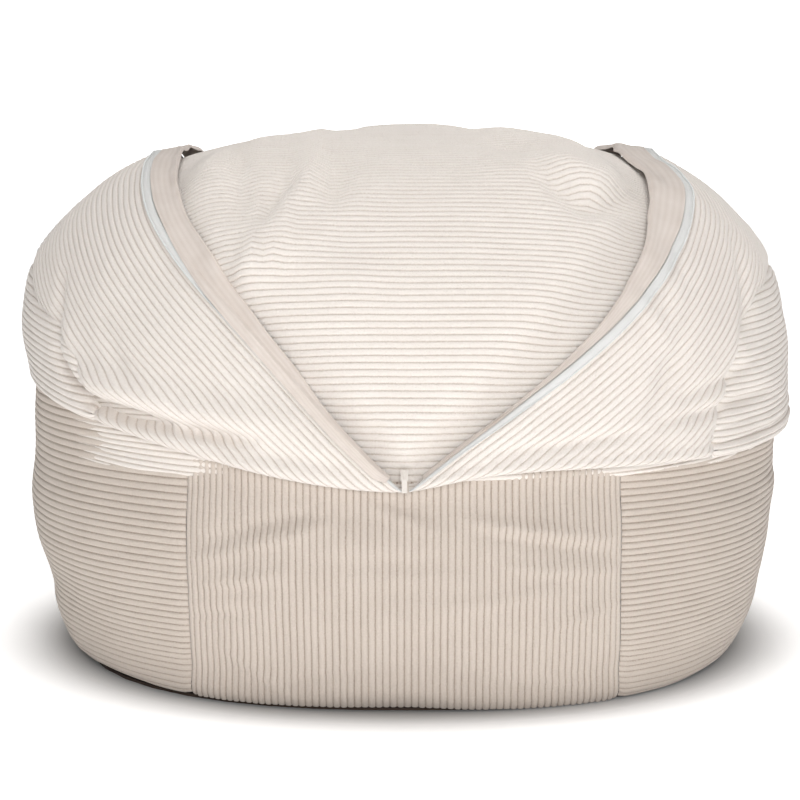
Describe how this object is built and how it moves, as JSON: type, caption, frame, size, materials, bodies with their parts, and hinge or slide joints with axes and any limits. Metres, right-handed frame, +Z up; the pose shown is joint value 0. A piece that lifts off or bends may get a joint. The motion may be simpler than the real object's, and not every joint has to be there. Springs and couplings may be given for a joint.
{
  "type": "bean bag chair",
  "caption": "Round corduroy bean bag chair: a folded foam cushion domes out of a cover whose long zip stands open in a V.",
  "frame": {"origin": "centre of the underside, on the floor", "axes": "+Z up, -Y towards the front, where the zip's open V is, +X to the right of someone who faces the chair's front"},
  "size_m": [1.1198, 1.0535, 0.753],
  "materials": {
    "corduroy": "cream jumbo-wale corduroy",
    "plain_cloth": "plain pale cloth, the corduroy's back",
    "brown_canvas": "dark brown canvas",
    "zip_tape": "white woven tape",
    "zip_nylon": "white nylon",
    "liner_cloth": "thin white liner cloth",
    "foam": "shredded polyurethane foam"
  },
  "bodies": {
    "chair": {"base_panel": "brown_canvas", "base_piping": "plain_cloth", "front_panel": "corduroy", "back_panel": "corduroy", "left_side_panel": "corduroy", "right_side_panel": "corduroy", "left_flap": "corduroy", "right_flap": "corduroy", "left_shoulder": "corduroy", "right_shoulder": "corduroy", "left_zip_facing": "plain_cloth", "right_zip_facing": "plain_cloth", "left_zip_tape": "zip_tape", "right_zip_tape": "zip_tape", "left_zip_coil": "zip_nylon", "right_zip_coil": "zip_nylon", "zip_bottom_stop": "zip_nylon", "zip_rear_stop": "zip_nylon", "cushion_face": "corduroy", "cushion_left_end": "corduroy", "cushion_right_end": "corduroy", "cushion_upper_zip_tape": "zip_tape", "cushion_lower_zip_tape": "zip_tape", "cushion_upper_zip_coil": "zip_nylon", "cushion_lower_zip_coil": "zip_nylon", "cushion_zip_left_stop": "zip_nylon", "cushion_zip_right_stop": "zip_nylon", "liner_bag": "liner_cloth", "liner_closing_binding": "zip_tape", "foam_filling": "foam"},
    "long_zip_slider": {"zip_slider": "zip_nylon"},
    "long_zip_pull": {"zip_pull": "zip_nylon"},
    "cushion_slider": {"cushion_zip_slider": "zip_nylon"},
    "cushion_pull": {"cushion_zip_pull": "zip_nylon"}
  },
  "joints": [
    {"name": "long_zip_slide", "type": "slide", "parent": "chair", "child": "long_zip_slider", "axis": [0, 0, 1], "range_m": [-0.0105, 0]},
    {"name": "long_zip_pull_hinge", "type": "hinge", "parent": "long_zip_slider", "child": "long_zip_pull", "pos_m": [0, -0.52808, 0.326], "axis": [-1, 0, 0], "range_deg": [0, 170]},
    {"name": "cushion_zip_travel", "type": "hinge", "parent": "chair", "child": "cushion_slider", "pos_m": [0, -1.11674, 0.62], "axis": [0, 0, 1], "range_deg": [0, 13.45]},
    {"name": "cushion_pull_hinge", "type": "hinge", "parent": "cushion_slider", "child": "cushion_pull", "pos_m": [0.17798, 0.38884, 0.62304], "axis": [-0.087, -0.7361, 0.6712], "range_deg": [0, 170]}
  ]
}
